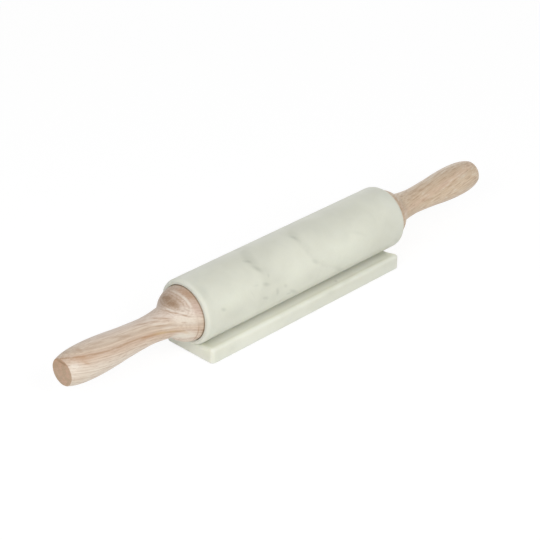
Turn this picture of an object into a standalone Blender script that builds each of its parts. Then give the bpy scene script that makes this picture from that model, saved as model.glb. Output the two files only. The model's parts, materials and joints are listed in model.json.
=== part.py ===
"""Marble rolling pin with turned wooden handles, lying in its marble cradle."""

import math

import bmesh
import bpy

# All sizes are in metres. X runs along the pin, Z is up, the origin is under the middle of the cradle.

# Gaps left between separate pieces
GAP = 0.0003
RUN_GAP = 0.0004
PIN_GAP = 0.0001

# Marble barrel
BARREL_RADIUS = 0.030
BARREL_LENGTH = 0.254
BARREL_EDGE = 0.004
RECESS_WALL = 0.0045
RECESS_CHAMFER = 0.0006

# Steel axle rod and the hardware on it
ROD_RADIUS = 0.004
ROD_CHAMFER = 0.0006
ROD_IN_HANDLE = 0.025
BUSH_WALL = 0.0035
BUSH_LENGTH = 0.024
BUSH_FLANGE_RADIUS = 0.015
BUSH_FLANGE = 0.002
WASHER_RADIUS = 0.011
WASHER_THICKNESS = 0.0016
NUT_HALF_FLATS = 0.0065
NUT_THICKNESS = 0.004
NUT_CHAMFER = 0.0007

# Threaded brass insert pressed into each handle
INSERT_WALL = 0.002
INSERT_LENGTH = 0.018
INSERT_GROOVE = 0.0006
INSERT_BANDS = 3
INSERT_SET_BACK = 0.0005

# Turned wooden handle
HANDLE_LENGTH = 0.133
PLUG_DEPTH = 0.007
PLUG_CHAMFER = 0.0005
DOME_REACH = 0.022
GRIP_RADIUS = 0.01575
END_ROUNDING = 0.0009
BLIND_END = 0.002

# Grip from the foot of the dome to the end: share of the way along, share of the grip's radius
GRIP_PROFILE = (
    (0.0, 1.192),
    (0.046, 0.949),
    (0.096, 0.873),
    (0.164, 0.810),
    (0.248, 0.775),
    (0.350, 0.803),
    (0.468, 0.857),
    (0.586, 0.937),
    (0.688, 0.987),
    (0.772, 1.0),
    (0.857, 0.981),
    (0.924, 0.924),
    (0.970, 0.844),
    (0.993, 0.784),
)

# Marble cradle with a shallow trough along its top
CRADLE_SET_BACK = 0.0055
CRADLE_WIDTH = 0.058
CRADLE_HEIGHT = 0.0155
CRADLE_CORNER = 0.004
CRADLE_TOP_EDGE = 0.0038
CRADLE_LOW_EDGE = 0.0015
TROUGH_RADIUS = 0.1166

# Non-slip pads under the cradle
PAD_RADIUS = 0.006
PAD_THICKNESS = 0.001
PAD_EDGE = 0.0002
PAD_INSET_X = 0.0165
PAD_INSET_Y = 0.011

# Fineness: faces round the turned pieces, and steps along their curves
BARREL_SIDES = 72
HANDLE_SIDES = 48
SMALL_SIDES = 36
GRIP_STEPS = 2
DOME_STEPS = 12
EDGE_STEPS = 8
CORNER_STEPS = 6
ROUNDING_STEPS = 5
TROUGH_STRIPS = 14

# Sizes that follow from the ones above
BARREL_HALF = BARREL_LENGTH / 2
RECESS_RADIUS = BARREL_RADIUS - RECESS_WALL
RECESS_DEPTH = PLUG_DEPTH + NUT_THICKNESS + WASHER_THICKNESS + BUSH_FLANGE + 4 * GAP
BUSH_HOLE = ROD_RADIUS + PIN_GAP
BUSH_RADIUS = BUSH_HOLE + BUSH_WALL
BORE_RADIUS = BUSH_RADIUS + PIN_GAP
NUT_HOLE = ROD_RADIUS + PIN_GAP
INSERT_HOLE = ROD_RADIUS + PIN_GAP
INSERT_RADIUS = INSERT_HOLE + INSERT_WALL
SOCKET_RADIUS = INSERT_RADIUS + PIN_GAP
BULB_RADIUS = RECESS_RADIUS - RUN_GAP
NECK_FOOT = GRIP_RADIUS * GRIP_PROFILE[0][1]
DOME_LENGTH = DOME_REACH * math.sqrt(1 - (NECK_FOOT / BULB_RADIUS) ** 2)
DOME_FOOT_SLOPE = -DOME_LENGTH * BULB_RADIUS ** 2 / (NECK_FOOT * DOME_REACH ** 2)
CRADLE_HALF = BARREL_HALF - CRADLE_SET_BACK
CRADLE_BOTTOM = PAD_THICKNESS + GAP

# Stack inside each recess, measured along X from the middle of the pin
FLOOR_X = BARREL_HALF - RECESS_DEPTH
FLANGE_X = FLOOR_X + GAP
WASHER_X = FLANGE_X + BUSH_FLANGE + GAP
NUT_X = WASHER_X + WASHER_THICKNESS + GAP
PLUG_X = NUT_X + NUT_THICKNESS + GAP
INSERT_X = PLUG_X + INSERT_SET_BACK
ROD_END_X = PLUG_X + ROD_IN_HANDLE

SIDES = (("left", math.pi), ("right", 0.0))


def trough_height(y):
    """Height of the cradle's top face at a distance y from its middle line."""
    rim = math.sqrt(TROUGH_RADIUS ** 2 - (CRADLE_WIDTH / 2) ** 2)
    return CRADLE_BOTTOM + CRADLE_HEIGHT - math.sqrt(TROUGH_RADIUS ** 2 - y ** 2) + rim


AXIS_Z = trough_height(0.0) + GAP + BARREL_RADIUS


def clear_scene():
    for thing in list(bpy.data.objects):
        bpy.data.objects.remove(thing)


def make_material(name, colour, roughness, metallic=0.0):
    material = bpy.data.materials.new(name)
    material.use_nodes = True
    shader = material.node_tree.nodes["Principled BSDF"]
    shader.inputs["Base Color"].default_value = (*colour, 1.0)
    shader.inputs["Roughness"].default_value = roughness
    shader.inputs["Metallic"].default_value = metallic
    return material


def add_object(name, bm, material, place, turn=(0.0, 0.0, 0.0)):
    """Turns a finished bmesh into a named object with smooth round faces and crisp edges."""
    bmesh.ops.recalc_face_normals(bm, faces=bm.faces)
    mesh = bpy.data.meshes.new(name)
    bm.to_mesh(mesh)
    bm.free()
    mesh.materials.append(material)
    mesh.polygons.foreach_set("use_smooth", [True] * len(mesh.polygons))
    mesh.set_sharp_from_angle(angle=math.radians(30))
    thing = bpy.data.objects.new(name, mesh)
    thing.location = place
    thing.rotation_euler = turn
    bpy.context.collection.objects.link(thing)


def bridge(bm, one, two, closed=True):
    """Joins two rows of vertices with faces; a row of one vertex makes a fan."""
    count = max(len(one), len(two))
    for i in range(count if closed else count - 1):
        j = (i + 1) % count
        corners = [one[i % len(one)], one[j % len(one)], two[j % len(two)], two[i % len(two)]]
        bm.faces.new(list(dict.fromkeys(corners)))


def turned(profile, sides, half_flats=None):
    """Solid turned about X from (x, radius) points.

    A profile whose ends lie on the axis is closed by it, any other profile is a closed ring.
    With half_flats the solid is cut to a hexagon of that half width.
    """
    bm = bmesh.new()
    rings = []
    for x, radius in profile:
        if radius == 0.0:
            rings.append([bm.verts.new((x, 0.0, 0.0))])
            continue
        ring = []
        for i in range(sides):
            angle = 2 * math.pi * i / sides
            reach = radius
            if half_flats:
                within = (angle + math.pi / 6) % (math.pi / 3) - math.pi / 6
                reach = min(radius, half_flats / math.cos(within))
            ring.append(bm.verts.new((x, reach * math.cos(angle), reach * math.sin(angle))))
        rings.append(ring)
    on_axis = profile[0][1] == 0.0
    pairs = zip(rings, rings[1:]) if on_axis else zip(rings, rings[1:] + rings[:1])
    for one, two in pairs:
        bridge(bm, one, two)
    return bm


def arc(centre_x, centre_r, radius, start, end, steps):
    """Points of a circular arc in the profile plane, angles in degrees from +X."""
    points = []
    for i in range(steps + 1):
        angle = math.radians(start + (end - start) * i / steps)
        points.append((centre_x + radius * math.cos(angle), centre_r + radius * math.sin(angle)))
    return points


def smooth_through(points, first_slope, steps):
    """Curve through the given points. Past the first, each slope is taken from the neighbours on both sides."""
    slopes = [first_slope]
    for i in range(1, len(points)):
        a = points[i - 1]
        b = points[min(i + 1, len(points) - 1)]
        slopes.append((b[1] - a[1]) / (b[0] - a[0]))
    curve = []
    for i in range(len(points) - 1):
        (x0, y0), (x1, y1) = points[i], points[i + 1]
        width = x1 - x0
        for k in range(steps):
            t = k / steps
            y = y0 * (2 * t ** 3 - 3 * t ** 2 + 1) + y1 * (3 * t ** 2 - 2 * t ** 3)
            y += width * (slopes[i] * (t ** 3 - 2 * t ** 2 + t) + slopes[i + 1] * (t ** 3 - t ** 2))
            curve.append((x0 + width * t, y))
    curve.append(points[-1])
    return curve


def build_barrel(material):
    edge_x = BARREL_HALF - BARREL_EDGE
    right = [
        (FLOOR_X, BORE_RADIUS),
        (FLOOR_X, RECESS_RADIUS),
        (BARREL_HALF - RECESS_CHAMFER, RECESS_RADIUS),
        (BARREL_HALF, RECESS_RADIUS + RECESS_CHAMFER),
    ]
    # The outer rounding runs down to the chamfer of the recess and no further.
    rim = RECESS_RADIUS + RECESS_CHAMFER
    rounding = arc(edge_x, BARREL_RADIUS - BARREL_EDGE, BARREL_EDGE, 0, 90, EDGE_STEPS)
    right += [point for point in rounding if point[1] > rim]
    left = [(-x, radius) for x, radius in reversed(right)]
    add_object("barrel", turned(right + left, BARREL_SIDES), material, (0.0, 0.0, AXIS_Z))


def build_rod(material):
    inner = ROD_RADIUS - ROD_CHAMFER
    right = [(ROD_END_X - ROD_CHAMFER, ROD_RADIUS), (ROD_END_X, inner), (ROD_END_X, 0.0)]
    left = [(-x, radius) for x, radius in reversed(right)]
    add_object("axle_rod", turned(left + right, SMALL_SIDES), material, (0.0, 0.0, AXIS_Z))


def build_bush(name, material, turn):
    profile = [
        (FLANGE_X - BUSH_LENGTH, BUSH_HOLE),
        (FLANGE_X + BUSH_FLANGE, BUSH_HOLE),
        (FLANGE_X + BUSH_FLANGE, BUSH_FLANGE_RADIUS),
        (FLANGE_X, BUSH_FLANGE_RADIUS),
        (FLANGE_X, BUSH_RADIUS),
        (FLANGE_X - BUSH_LENGTH, BUSH_RADIUS),
    ]
    add_object(name, turned(profile, SMALL_SIDES), material, (0.0, 0.0, AXIS_Z), (0.0, 0.0, turn))


def build_washer(name, material, turn):
    far = WASHER_X + WASHER_THICKNESS
    hole = ROD_RADIUS + GAP
    profile = [(WASHER_X, hole), (far, hole), (far, WASHER_RADIUS), (WASHER_X, WASHER_RADIUS)]
    add_object(name, turned(profile, SMALL_SIDES), material, (0.0, 0.0, AXIS_Z), (0.0, 0.0, turn))


def build_nut(name, material, turn):
    far = NUT_X + NUT_THICKNESS
    corner = NUT_HALF_FLATS / math.cos(math.pi / 6)
    face = corner - NUT_CHAMFER
    profile = [
        (NUT_X, NUT_HOLE),
        (far, NUT_HOLE),
        (far, face),
        (far - NUT_CHAMFER, corner),
        (NUT_X + NUT_CHAMFER, corner),
        (NUT_X, face),
    ]
    solid = turned(profile, SMALL_SIDES, NUT_HALF_FLATS)
    add_object(name, solid, material, (0.0, 0.0, AXIS_Z), (0.0, 0.0, turn))


def build_insert(name, material, turn):
    far = INSERT_X + INSERT_LENGTH
    band = INSERT_LENGTH / INSERT_BANDS
    groove = INSERT_RADIUS - INSERT_GROOVE
    profile = [(INSERT_X, INSERT_HOLE), (far, INSERT_HOLE), (far, groove)]
    for i in range(INSERT_BANDS, 0, -1):
        high = INSERT_X + band * i
        low = high - band
        profile.append((high - INSERT_GROOVE, INSERT_RADIUS))
        profile.append((low + INSERT_GROOVE, INSERT_RADIUS))
        profile.append((low, groove))
    add_object(name, turned(profile, SMALL_SIDES), material, (0.0, 0.0, AXIS_Z), (0.0, 0.0, turn))


def handle_outline():
    """Outer profile of a handle from the plug inside the recess to the middle of the end face."""
    points = [(PLUG_X, BULB_RADIUS - PLUG_CHAMFER), (PLUG_X + PLUG_CHAMFER, BULB_RADIUS)]
    for i in range(DOME_STEPS):
        x = DOME_LENGTH * math.sin(math.pi / 2 * i / DOME_STEPS)
        points.append((BARREL_HALF + x, BULB_RADIUS * math.sqrt(1 - (x / DOME_REACH) ** 2)))
    reach = HANDLE_LENGTH - DOME_LENGTH
    foot = BARREL_HALF + DOME_LENGTH
    knots = [(foot + share * reach, radius * GRIP_RADIUS) for share, radius in GRIP_PROFILE]
    points += smooth_through(knots, DOME_FOOT_SLOPE, GRIP_STEPS)
    end = BARREL_HALF + HANDLE_LENGTH
    points.append((end, knots[-1][1] - END_ROUNDING))
    points.append((end, 0.0))
    return points


def build_handle(name, material, turn):
    blind = ROD_END_X + BLIND_END
    shoulder = INSERT_X + INSERT_LENGTH + GAP
    pilot = ROD_RADIUS + GAP
    inside = [(blind, 0.0), (blind, pilot), (shoulder, pilot), (shoulder, SOCKET_RADIUS), (PLUG_X, SOCKET_RADIUS)]
    solid = turned(inside + handle_outline(), HANDLE_SIDES)
    add_object(name, solid, material, (0.0, 0.0, AXIS_Z), (0.0, 0.0, turn))


def cradle_outline():
    """Right half of the cradle's plan from front to back as (x, y, normal x, normal y)."""
    half_width = CRADLE_WIDTH / 2
    points = []
    for i in range(CORNER_STEPS + 1):
        angle = math.pi / 2 * (i / CORNER_STEPS - 1)
        nx, ny = math.cos(angle), math.sin(angle)
        x = CRADLE_HALF - CRADLE_CORNER + CRADLE_CORNER * nx
        points.append((x, CRADLE_CORNER - half_width + CRADLE_CORNER * ny, nx, ny))
    reach = half_width - CRADLE_CORNER
    straight = []
    for i in range(1, TROUGH_STRIPS):
        straight.append((CRADLE_HALF, reach * (2 * i / TROUGH_STRIPS - 1), 1.0, 0.0))
    back = [(x, -y, nx, -ny) for x, y, nx, ny in reversed(points)]
    return points + straight + back


def cradle_loop(bm, outline, inset, height):
    """One closed row of vertices, moved inwards by inset and set to height(y)."""
    right = []
    left = []
    for x, y, nx, ny in outline:
        x_in = x - inset * nx
        y_in = y - inset * ny
        right.append(bm.verts.new((x_in, y_in, height(y_in))))
        left.append(bm.verts.new((-x_in, y_in, height(y_in))))
    return right, left


def build_cradle(material):
    bm = bmesh.new()
    outline = cradle_outline()
    rows = []
    for i in range(ROUNDING_STEPS + 1):
        angle = math.pi / 2 * i / ROUNDING_STEPS
        inset = CRADLE_LOW_EDGE * (1 - math.sin(angle))
        low = CRADLE_BOTTOM + CRADLE_LOW_EDGE * (1 - math.cos(angle))
        rows.append(cradle_loop(bm, outline, inset, lambda y, low=low: low))
    for i in range(ROUNDING_STEPS + 1):
        angle = math.pi / 2 * i / ROUNDING_STEPS
        inset = CRADLE_TOP_EDGE * (1 - math.cos(angle))
        drop = CRADLE_TOP_EDGE * (1 - math.sin(angle))
        rows.append(cradle_loop(bm, outline, inset, lambda y, drop=drop: trough_height(y) - drop))
    loops = [right + left[::-1] for right, left in rows]
    for one, two in zip(loops, loops[1:]):
        bridge(bm, one, two)
    for right, left in (rows[0], rows[-1]):
        bridge(bm, right, left, closed=False)
    add_object("cradle", bm, material, (0.0, 0.0, 0.0))


def build_pads(material):
    inner = PAD_RADIUS - PAD_EDGE
    profile = [
        (0.0, 0.0),
        (0.0, inner),
        (PAD_EDGE, PAD_RADIUS),
        (PAD_THICKNESS - PAD_EDGE, PAD_RADIUS),
        (PAD_THICKNESS, inner),
        (PAD_THICKNESS, 0.0),
    ]
    x = CRADLE_HALF - PAD_INSET_X
    y = CRADLE_WIDTH / 2 - PAD_INSET_Y
    spots = ((-x, -y), (x, -y), (x, y), (-x, y))
    for number, (px, py) in enumerate(spots, 1):
        solid = turned(profile, SMALL_SIDES)
        add_object(f"pad_{number}", solid, material, (px, py, 0.0), (0.0, -math.pi / 2, 0.0))


def main():
    clear_scene()
    marble = make_material("marble", (0.76, 0.78, 0.68), 0.5)
    wood = make_material("wood", (0.62, 0.48, 0.36), 0.6)
    steel = make_material("steel", (0.55, 0.55, 0.56), 0.3, 1.0)
    brass = make_material("brass", (0.72, 0.52, 0.22), 0.35, 1.0)
    nylon = make_material("nylon", (0.80, 0.80, 0.76), 0.45)
    rubber = make_material("rubber", (0.60, 0.60, 0.58), 0.8)
    build_cradle(marble)
    build_pads(rubber)
    build_barrel(marble)
    build_rod(steel)
    for side, turn in SIDES:
        build_bush(f"bush_{side}", nylon, turn)
        build_washer(f"washer_{side}", steel, turn)
        build_nut(f"nut_{side}", steel, turn)
        build_insert(f"insert_{side}", brass, turn)
        build_handle(f"handle_{side}", wood, turn)


main()
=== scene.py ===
"""Marble rolling pin with turned wooden handles, lying in its marble cradle."""

import json
import math

import bmesh
import bpy
from mathutils import Matrix, Vector
from mathutils.geometry import interpolate_bezier


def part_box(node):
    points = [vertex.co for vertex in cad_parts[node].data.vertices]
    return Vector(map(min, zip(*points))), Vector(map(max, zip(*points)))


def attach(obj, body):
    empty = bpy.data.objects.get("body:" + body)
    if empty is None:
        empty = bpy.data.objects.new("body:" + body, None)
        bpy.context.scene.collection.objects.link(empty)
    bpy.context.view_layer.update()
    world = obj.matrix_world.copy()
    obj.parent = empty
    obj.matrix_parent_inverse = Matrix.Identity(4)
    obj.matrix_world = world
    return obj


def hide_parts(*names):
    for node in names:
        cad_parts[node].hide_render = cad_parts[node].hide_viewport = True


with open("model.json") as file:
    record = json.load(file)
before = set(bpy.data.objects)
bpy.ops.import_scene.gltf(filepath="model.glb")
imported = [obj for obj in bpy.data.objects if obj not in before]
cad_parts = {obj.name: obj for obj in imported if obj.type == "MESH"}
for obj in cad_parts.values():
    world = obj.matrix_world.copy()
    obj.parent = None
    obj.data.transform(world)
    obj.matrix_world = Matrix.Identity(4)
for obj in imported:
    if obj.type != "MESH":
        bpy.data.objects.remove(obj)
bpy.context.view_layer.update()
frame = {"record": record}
record = frame["record"]

# All sizes are in metres, in the CAD's frame: X runs along the pin, Z is up, the left end is at -X.
MM = 0.001

# Corners of the CAD's boxes. The right end's pieces are shaped and then turned about for the left end.
BARREL_LOW, BARREL_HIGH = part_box("barrel")
BARREL_HALF = BARREL_HIGH.x
BARREL_RADIUS = (BARREL_HIGH.z - BARREL_LOW.z) / 2
AXIS_Z = (BARREL_HIGH.z + BARREL_LOW.z) / 2
CRADLE_LOW, CRADLE_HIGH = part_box("cradle")
HANDLE_LOW, HANDLE_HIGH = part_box("handle_right")
BUSH_LOW, BUSH_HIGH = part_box("bush_right")
WASHER_LOW, WASHER_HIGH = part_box("washer_right")
NUT_LOW, NUT_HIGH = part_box("nut_right")
INSERT_LOW, INSERT_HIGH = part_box("insert_right")
ROD_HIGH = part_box("axle_rod")[1]

# Room between neighbouring pieces
GAP = 0.3 * MM

# Bush, washer and pads. The washer's stamped side has the rounder edges.
BUSH_HOLE = 4.1 * MM
BUSH_BODY = 7.6 * MM
BUSH_FLANGE = 2.0 * MM
BUSH_HOLE_EDGE = 0.35 * MM
BUSH_FRONT_RIM = 0.4 * MM
BUSH_BACK_RIM = 0.3 * MM
BUSH_LEAD = 1.5 * MM
BUSH_LEAD_DEPTH = 0.5 * MM
BUSH_LEAD_EDGE = 0.15 * MM
WASHER_HOLE = 4.3 * MM
WASHER_HOLE_EDGES = (0.15 * MM, 0.4 * MM)
WASHER_RIM_EDGES = (0.12 * MM, 0.45 * MM)
PAD_RADIUS = 6.0 * MM
PAD_EDGE = 0.2 * MM
PAD_GROOVES = (2.1 * MM, 4.1 * MM)
PAD_GROOVE_DEPTH = 0.15 * MM
PAD_GROOVE_MOUTH = 0.5 * MM
PAD_GROOVE_FLOOR = 0.3 * MM
PAD_GROOVE_EDGE = 0.06 * MM

# Barrel. The slack keeps the end of a rounding off the next corner.
BARREL_EDGE = 4.0 * MM
RIM_SLACK = 0.1 * MM
RECESS_RADIUS = 25.5 * MM
RECESS_CHAMFER = 0.8 * MM
RECESS_FLOOR_X = BUSH_HIGH.x - BUSH_FLANGE - GAP
RECESS_CORNER = 1.0 * MM
BORE_RADIUS = 7.7 * MM
BORE_EDGE = 0.4 * MM
BARREL_CUTS = 36

# Handle
PLUG_X = HANDLE_LOW.x
PLUG_CHAMFER = 0.5 * MM
BULB_RADIUS = 25.1 * MM
DOME_REACH = 22.0 * MM
GRIP_RADIUS = 15.75 * MM
HANDLE_END = HANDLE_HIGH.x
END_ROUNDING = 0.72 * MM
SOCKET_RADIUS = 6.2 * MM
SOCKET_EDGE = 0.3 * MM
PILOT_RADIUS = 4.3 * MM
SHOULDER_X = INSERT_HIGH.x + GAP
BLIND_X = ROD_HIGH.x + 2.0 * MM
DRILL_POINT = 1.6 * MM
TURNED_LINES = (2.3 * MM, 5.6 * MM)
TURNED_LINE_DEPTH = 0.14 * MM
TURNED_LINE_HALF = 0.28 * MM
TURNED_LINE_CLEAR = 1.3 * TURNED_LINE_HALF

# Grip from the foot of the dome to the end: share of the way along, share of the grip's radius
GRIP_PROFILE = (
    (0.0, 1.192), (0.046, 0.949), (0.096, 0.873), (0.164, 0.810), (0.248, 0.775),
    (0.350, 0.803), (0.468, 0.857), (0.586, 0.937), (0.688, 0.987), (0.772, 1.0),
    (0.857, 0.981), (0.924, 0.924), (0.970, 0.844), (0.993, 0.784),
)
NECK_FOOT = GRIP_RADIUS * GRIP_PROFILE[0][1]
DOME_LENGTH = DOME_REACH * math.sqrt(1 - (NECK_FOOT / BULB_RADIUS) ** 2)
DOME_FOOT_SLOPE = -DOME_LENGTH * BULB_RADIUS ** 2 / (NECK_FOOT * DOME_REACH ** 2)

# Cradle
CRADLE_CORNER = 4.0 * MM
CRADLE_TOP_EDGE = 3.8 * MM
CRADLE_LOW_EDGE = 1.5 * MM
CRADLE_RIM_Z = CRADLE_LOW.z + 15.5 * MM
TROUGH_RADIUS = 116.6 * MM
TROUGH_SLICES = 40

# Rod, nuts and inserts
ROD_RADIUS = 4.0 * MM
ROD_CUTS = 16
PITCH = 1.25 * MM
ROD_ROOT = 3.35 * MM
ROD_TIP = 2.9 * MM
THREAD_START = 114.5 * MM
THREAD_TURNS = 23
THREAD_FLAT = 0.15 * MM
THREAD_RUN_OUT = 0.1 * MM
HOLE_CREST = 3.48 * MM
HOLE_ROOT = 4.1 * MM
COUNTERSINK = 4.5 * MM
COUNTERSINK_DEPTH = 0.35 * MM
NUT_HALF_FLATS = 6.5 * MM
NUT_CHAMFER = 0.7 * MM
INSERT_RADIUS = 6.1 * MM
INSERT_GROOVE = 0.6 * MM
INSERT_BANDS = 3
KNURL_DEPTH = 0.16 * MM

# Facets round each piece, steps along each curve, and what counts as one point or a sharp edge
BARREL_SIDES = 192
HANDLE_SIDES = 160
SMALL_SIDES = 96
THREAD_SIDES = 48
ROUNDING_STEPS = 6
DOME_STEPS = 28
GRIP_STEPS = 7
SAME_POINT = 1e-6
SHARP_ANGLE = math.radians(32)

# Each end of the pin, and the turn that brings a piece there from the right end
SIDES = (("left", math.pi), ("right", 0.0))

# Camera, as the photograph was taken
FRAME_PIXELS = 540
SENSOR = 36.0
NEAREST_SEEN = 0.05
FARTHEST_SEEN = 50.0
FOCAL_PIXELS = 1697.585
CAMERA_AZIMUTH = math.radians(-45.936)
CAMERA_ELEVATION = math.radians(29.160)
CAMERA_ROLL = math.radians(0.625)
CAMERA_DISTANCE = 1524.48 * MM
AIM_RIGHT = -15.644 * MM
AIM_UP = 3.325 * MM
AIM_HEIGHT = 31.3 * MM

# Soft boxes: azimuth and elevation in degrees, width and height in metres, power in watts
LAMP_DISTANCE = 1.6
LAMPS = {
    "front_box": (-16.0, 35.0, 0.6, 0.7, 7.45),
    "left_box": (-66.0, 32.0, 0.7, 0.7, 6.25),
    "back_box": (134.0, 7.0, 1.0, 0.3, 2.0),
}
WORLD_LIGHT = 0.61

# Floor: half its width in metres, its own brightness to the camera, and how much of the shadow it takes
FLOOR_HALF = 6.0
FLOOR_GLOW = 0.86
FLOOR_SHADE = 0.2


def camera_axes():
    """Unit vectors to the right, up and back from the camera."""
    a, e, r = CAMERA_AZIMUTH, CAMERA_ELEVATION, CAMERA_ROLL
    back = Vector((math.sin(a) * math.cos(e), -math.cos(a) * math.cos(e), math.sin(e)))
    right = Vector((math.cos(a), math.sin(a), 0.0))
    up = back.cross(right)
    return right * math.cos(r) + up * math.sin(r), up * math.cos(r) - right * math.sin(r), back


RIGHT, UP, BACK = camera_axes()
EYE = Vector((0.0, 0.0, AIM_HEIGHT)) + RIGHT * AIM_RIGHT + UP * AIM_UP + BACK * CAMERA_DISTANCE


def place_camera():
    lens = bpy.data.cameras.new("camera")
    lens.sensor_fit = "HORIZONTAL"
    lens.sensor_width = SENSOR
    lens.lens = FOCAL_PIXELS * SENSOR / FRAME_PIXELS
    lens.clip_start = NEAREST_SEEN
    lens.clip_end = FARTHEST_SEEN
    camera = bpy.data.objects.new("camera", lens)
    turn = Matrix((RIGHT, UP, BACK)).transposed()
    camera.matrix_world = Matrix.Translation(EYE) @ turn.to_4x4()
    bpy.context.scene.collection.objects.link(camera)
    bpy.context.scene.camera = camera


def seen_at(piece, pixel):
    """The point of a piece that the photograph shows at a pixel."""
    across, down = pixel
    middle = FRAME_PIXELS / 2
    sight = RIGHT * (across - middle) - UP * (down - middle) - BACK * FOCAL_PIXELS
    hit, point, normal, face = piece.ray_cast(EYE, sight.normalized())
    if not hit:
        raise ValueError(f"pixel {pixel} misses {piece.name}")
    return point


def add_turned(bm, corners, sides, closed=False):
    """Turns a line of (x, radius, rounding) corners once round the X axis."""
    old = set(bm.verts)
    points = [bm.verts.new((x, 0.0, radius)) for x, radius, rounding in corners]
    for one, two in zip(points, points[1:] + points[:1] if closed else points[1:]):
        bm.edges.new((one, two))
    for point, (x, radius, rounding) in zip(points, corners):
        if rounding:
            bmesh.ops.bevel(
                bm, geom=[point], offset=rounding, offset_type="OFFSET", segments=ROUNDING_STEPS,
                profile=0.5, affect="VERTICES", material=-1,
            )
    line = [vert for vert in bm.verts if vert not in old]
    edges = {edge for vert in line for edge in vert.link_edges}
    bmesh.ops.spin(
        bm, geom=line + list(edges), cent=(0, 0, 0), axis=(1, 0, 0), dvec=(0, 0, 0),
        angle=math.tau, steps=sides, use_merge=True,
    )


def add_thread(bm, first, turns, crest, root, low, high, sides):
    """A right-hand thread from x = first, closed to plain rings of the root's radius at low and high."""
    slope = PITCH / 2 - 2 * THREAD_FLAT
    tooth = (
        (0.0, root),
        (THREAD_FLAT, root),
        (THREAD_FLAT + slope, crest),
        (PITCH - THREAD_FLAT - slope, crest),
        (PITCH - THREAD_FLAT, root),
    )
    old = set(bm.verts)
    line = [
        bm.verts.new((first + PITCH * turn + x, 0.0, radius))
        for turn in range(turns) for x, radius in tooth
    ]
    line.append(bm.verts.new((first + PITCH * turns, 0.0, root)))
    edges = [bm.edges.new(pair) for pair in zip(line, line[1:])]
    bmesh.ops.spin(
        bm, geom=line + edges, cent=(0, 0, 0), axis=(1, 0, 0), dvec=(PITCH / sides, 0, 0),
        angle=math.tau, steps=sides, use_merge=False,
    )
    bmesh.ops.remove_doubles(bm, verts=[vert for vert in bm.verts if vert not in old], dist=SAME_POINT)
    rims = {low: [], high: []}
    for edge in bm.edges:
        if edge.is_boundary and not (set(edge.verts) & old):
            middle = (edge.verts[0].co.x + edge.verts[1].co.x) / 2
            rims[low if middle < first + PITCH else high].append(edge)
    for x, rim in rims.items():
        made = bmesh.ops.extrude_edge_only(bm, edges=rim)
        for vert in made["geom"]:
            if isinstance(vert, bmesh.types.BMVert):
                share = root / math.hypot(vert.co.y, vert.co.z)
                vert.co = (x, vert.co.y * share, vert.co.z * share)


def finish_shape(bm, turn=0.0, lift=AXIS_Z):
    """Closes seams and poles, points the faces outwards and puts the shape where the CAD has it."""
    bmesh.ops.remove_doubles(bm, verts=bm.verts, dist=SAME_POINT)
    bmesh.ops.dissolve_degenerate(bm, edges=bm.edges, dist=SAME_POINT / 10)
    bmesh.ops.recalc_face_normals(bm, faces=bm.faces)
    bmesh.ops.rotate(bm, verts=bm.verts, cent=(0, 0, 0), matrix=Matrix.Rotation(turn, 3, "Z"))
    bmesh.ops.translate(bm, verts=bm.verts, vec=(0, 0, lift))


def add_piece(name, bm, node, even_flats=False):
    """Makes a shape a piece that rides on its node's body and stands for that node."""
    mesh = bpy.data.meshes.new(name)
    bm.to_mesh(mesh)
    bm.free()
    mesh.polygons.foreach_set("use_smooth", [True] * len(mesh.polygons))
    mesh.set_sharp_from_angle(angle=SHARP_ANGLE)
    piece = bpy.data.objects.new(name, mesh)
    bpy.context.scene.collection.objects.link(piece)
    if even_flats:
        normals = piece.modifiers.new("even flats", "WEIGHTED_NORMAL")
        normals.keep_sharp = True
    body = next(body for body, nodes in record["behaviour"]["bodies"].items() if node in nodes)
    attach(piece, body)
    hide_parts(node)
    return piece


def shape_barrel():
    bm = bmesh.new()
    half = [
        (RECESS_FLOOR_X, BORE_RADIUS, BORE_EDGE),
        (RECESS_FLOOR_X, RECESS_RADIUS, RECESS_CORNER),
        (BARREL_HALF, RECESS_RADIUS, RECESS_CHAMFER),
        (BARREL_HALF, BARREL_RADIUS, BARREL_EDGE - RIM_SLACK),
    ]
    reach = BARREL_HALF - 2 * BARREL_EDGE
    middle = [(reach - 2 * reach * i / BARREL_CUTS, BARREL_RADIUS, 0.0) for i in range(BARREL_CUTS + 1)]
    other = [(-x, radius, rounding) for x, radius, rounding in reversed(half)]
    add_turned(bm, half + middle + other, BARREL_SIDES, closed=True)
    finish_shape(bm)
    return add_piece("barrel_marble", bm, "barrel", even_flats=True)


def dome_radius(along):
    return BULB_RADIUS * math.sqrt(1 - (along / DOME_REACH) ** 2)


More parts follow.
